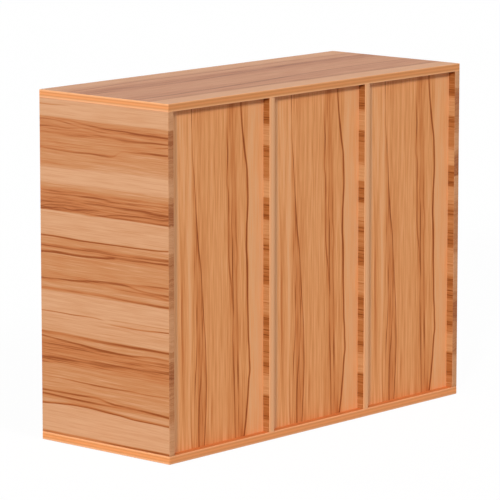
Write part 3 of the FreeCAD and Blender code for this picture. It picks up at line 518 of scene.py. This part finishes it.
def edge_band(name, cross_axis, cross_start, width, wrap, colours):
    """Stripes along an edge: colour = ramp(share across it + a slow noise along it)."""
    material, tree = new_tree(name)
    run_axis = "X" if cross_axis == "Z" else "Z"
    _, across, run = sheet_axes(tree, run_axis, WIDTH_SPAN, cross_axis, cross_start, -1, wrap)
    sway = stretched_noise(tree, run, across, *FIBRES, seed=2.0)
    share = add(tree, "ShaderNodeMath", {0: across, 1: 1 / width}, operation="MULTIPLY")
    place = add(tree, "ShaderNodeMath", {0: centred(tree, sway), 1: BAND_SWAY, 2: share},
                operation="MULTIPLY_ADD")
    coat(tree, colour_ramp(tree, place, colours), sway, BAND_GLOSS)
    return material


cap_foot, cap_top = (corner.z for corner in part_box("top_board"))
# Painted light and shade: the three ramps are one band, lit for the ends and shaded for the top's
# back edge, each with painted rim highlights at its first and last stops.
cap_band, lit_end_band, shaded_back_band = (
    edge_band(name, "Z", case_top, (cap_top - cap_foot) * MM, cap_foot, colours)
    for name, colours in (
        ("orange_edge_band", (
            (0.0, "#f8b682"), (0.12, "#eba06a"), (0.26, "#d78a50"), (0.45, "#ea9a5e"),
            (0.58, "#e3945a"), (0.7, "#d68a52"), (0.9, "#e6a370"), (1.0, "#efae7e"))),
        ("edge_band_painted_light", (
            (0.0, "#ffc088"), (0.1, "#fcb47a"), (0.28, "#dd8b4c"), (0.46, "#f29f5f"),
            (0.56, "#ec9a5b"), (0.68, "#dc8f52"), (0.88, "#f6b37e"), (1.0, "#fcbc8c"))),
        ("edge_band_painted_shade", (
            (0.0, "#ecac75"), (0.12, "#dd945c"), (0.25, "#cb8248"), (0.45, "#df9257"),
            (0.56, "#d78c51"), (0.68, "#cb824a"), (0.84, "#df9962"), (1.0, "#f8c48f")))))
upright_band = edge_band(
    "pale_edge_band", "X", case_right, UPRIGHT_EDGE, pitch,
    ((0.0, "#edac78"), (0.3, "#e8a471"), (0.5, "#e6ad7d"), (0.75, "#dfa272"), (1.0, "#dda276")))
print("four edge bands")

# %% [markdown]
# A board's faces tell which finish they take by the way they look, so each piece gets a list of
# materials with a test on the face's normal. The first test that a face passes gives it its
# material. A side's back edge takes its eased corners with it.

# %% Dress the boards
SLANT = 0.8                    # a face looks along an axis from this share of its normal on
EASED_SLANT = 0.5              # the same, with the eased corners beside it


def looks(axis, sign=0, slant=SLANT):
    """A test for faces that look along an axis: up it, down it or, without a sign, either."""
    i = "XYZ".index(axis)
    return lambda normals: (normals[:, i] * sign if sign else np.abs(normals[:, i])) > slant


def every(normals):
    """The test that each face passes."""
    return np.full(len(normals), True)


def dress(name, *choices):
    """Give each face of a node the first material whose test its normal passes."""
    mesh = nodes[name].data
    normals = np.empty(len(mesh.polygons) * 3)
    mesh.polygons.foreach_get("normal", normals)
    normals = normals.reshape(-1, 3)
    mesh.materials.clear()
    index = np.full(len(normals), -1)
    for number, (material, test) in enumerate(choices):
        mesh.materials.append(material)
        index[(index < 0) & test(normals)] = number
    mesh.polygons.foreach_set("material_index", np.maximum(index, 0))
    mesh.update()


dress("top_board", (top_laminate, looks("Z", 1)), (painted_bounce_laminate, looks("Z")),
      (lit_end_band, looks("X")), (shaded_back_band, looks("Y", 1)), (cap_band, every))
dress("bottom_board", (top_laminate, looks("Z", -1)), (painted_bounce_laminate, looks("Z")),
      (lit_end_band, looks("X")), (cap_band, every))
for name in ("left_divider", "right_divider"):
    dress(name, (shaded_inner_laminate, looks("X")), (upright_band, every))
for name, outward in (("right_side", 1), ("left_side", -1)):
    dress(name, (side_laminate, looks("X", outward)), (shaded_inner_laminate, looks("X")),
          (shaded_edge_laminate, looks("Y", 1, EASED_SLANT)), (upright_band, every))
print("the case is dressed")

# %% [markdown]
# What the case holds is alike in the three bays: a panel, a deck, seven shelves and a drawer.

# %% Dress the bays
SHELVES = 7                    # in each bay

for bay in ("left", "middle", "right"):
    dress(f"{bay}_back_panel", (panel_laminate, every))
    dress(f"{bay}_deck", (shelf_laminate, looks("Z")), (cap_band, every))
    for number in range(1, SHELVES + 1):
        dress(f"{bay}_shelf_{number}", (shelf_laminate, every))
    dress(f"{bay}_drawer_front", (front_laminate, every))
    for piece in ("left_side", "right_side", "back", "bottom"):
        dress(f"{bay}_drawer_{piece}", (birch, every))
print("the bays are dressed")

# %% [markdown]
# The fasteners are bought parts. A cam disc is die-cast zinc, with the grain of the casting, and
# a bolt is steel under a bright zinc plating, whose crystals are a little larger. The dowels are
# turned from pale birch, like the drawer boxes.

# %% Fasteners
ROUGHNESS_SPREAD = 0.1         # how far a metal's roughness goes either side of its own


def metal(name, colours, grain, roughness):
    """Bare metal: its colour and roughness vary with a noise whose grains are grain mm wide."""
    material, tree = new_tree(name)
    here = add(tree, "ShaderNodeTexCoord", output="Object")
    cast = add(tree, "ShaderNodeTexNoise", {"Vector": here, "Scale": MM / grain, "Detail": 1.0})
    rough = add(tree, "ShaderNodeMapRange", {
        "Value": cast, "To Min": roughness - ROUGHNESS_SPREAD,
        "To Max": roughness + ROUGHNESS_SPREAD})
    shader = tree.nodes["Principled BSDF"]
    tree.links.new(colour_ramp(tree, cast, colours), shader.inputs["Base Color"])
    tree.links.new(rough, shader.inputs["Roughness"])
    shader.inputs["Metallic"].default_value = 1.0
    return material


die_cast = metal("die_cast_zinc", ((0.3, "#aeaeaa"), (0.7, "#c0c0bb")), grain=0.5, roughness=0.45)
plated = metal("zinc_plated_steel", ((0.3, "#c3c5c4"), (0.7, "#d0d1ce")), grain=1.2, roughness=0.3)
for name, material in (("cam_discs", die_cast), ("cam_bolts", plated), ("dowels", birch)):
    dress(name, (material, every))
print("the fasteners are dressed")

# %% [markdown]
# The picture has a pure white ground. The world shows white to the camera and to gloss, but it
# lights the boards at a plain level.

# %% World
WORLD_LIGHT = 0.24             # the share of full white that lights the boards
WHITE = (1, 1, 1, 1)

world = bpy.data.worlds.new("studio")
bpy.context.scene.world = world
world.use_nodes = True
tree = world.node_tree
tree.nodes.clear()
paths = add(tree, "ShaderNodeLightPath").node
seen = add(tree, "ShaderNodeMath", {
    0: add(tree, "ShaderNodeMath", {0: paths.outputs["Is Camera Ray"],
                                    1: paths.outputs["Is Glossy Ray"]}, operation="MAXIMUM"),
    1: paths.outputs["Is Transmission Ray"]}, operation="MAXIMUM")
strength = add(tree, "ShaderNodeMapRange", {"Value": seen, "To Min": WORLD_LIGHT, "To Max": 1.0})
background = add(tree, "ShaderNodeBackground", {"Color": WHITE, "Strength": strength})
add(tree, "ShaderNodeOutputWorld", {"Surface": background})
print("world light", WORLD_LIGHT)

# %% [markdown]
# A floor takes the organizer's shadow. Most of it glows white to the camera, and the rest is a
# matt grey, so that the shadow shows through as faintly as in the picture.

# %% Floor
FLOOR_SIZE = 12.0              # metres
FLOOR_GAP = 0.0005             # metres: keeps the floor clear of the underside
SHADOW_HIDDEN = 0.9            # how much of the floor's shading the white ground covers
GROUND_GLOW = 1.06             # with the floor's own tenth of light this makes white
FLOOR_GREY = "#d0d0d0"

half = FLOOR_SIZE / 2
floor_mesh = bpy.data.meshes.new("floor")
floor_mesh.from_pydata([(x, y, -FLOOR_GAP) for x, y in ((-half, -half), (half, -half),
                                                        (half, half), (-half, half))],
                       [], [(0, 1, 2, 3)])
floor = bpy.data.objects.new("floor", floor_mesh)
bpy.context.scene.collection.objects.link(floor)
paper, tree = new_tree("white_paper")
tree.nodes.clear()
matt = add(tree, "ShaderNodeBsdfDiffuse", {"Color": linear(FLOOR_GREY)})
white = add(tree, "ShaderNodeEmission", {"Color": WHITE, "Strength": GROUND_GLOW})
share = add(tree, "ShaderNodeMath", {0: add(tree, "ShaderNodeLightPath", output="Is Camera Ray"),
                                     1: SHADOW_HIDDEN}, operation="MULTIPLY")
add(tree, "ShaderNodeOutputMaterial", {
    "Surface": add(tree, "ShaderNodeMixShader", {0: share, 1: matt, 2: white})})
floor.data.materials.append(paper)
print("floor", FLOOR_SIZE, "m wide")

# %% [markdown]
# Five soft suns light the boards. Each is given by an arrow that points to it, as long as the
# share of full light that it throws on a sheet facing it, and by how wide it looks, in degrees:
# a wide one has softer shadows. A sun of strength pi shows a white sheet facing it as white.

# %% Lamps
LAMPS = {"window": ((0.42, 0.25, 0.17), 6), "studio_lamp": ((0.03, 0.23, 0.18), 14),
         "side_light": ((0.13, -0.02, 0.06), 50), "front_light": ((0.12, -0.55, 0.02), 20),
         "far_light": ((-0.40, 0.0, 0.0), 20)}
for name, (arrow, width) in LAMPS.items():
    lamp = bpy.data.objects.new(name, bpy.data.lights.new(name, "SUN"))
    bpy.context.scene.collection.objects.link(lamp)
    towards = Vector(arrow)
    lamp.data.energy = towards.length * math.pi
    lamp.data.angle = math.radians(width)
    lamp.rotation_mode = "QUATERNION"
    lamp.rotation_quaternion = (-towards).to_track_quat("-Z", "Y")
bpy.context.scene.view_settings.view_transform = "Standard"
print(len(LAMPS), "lamps")
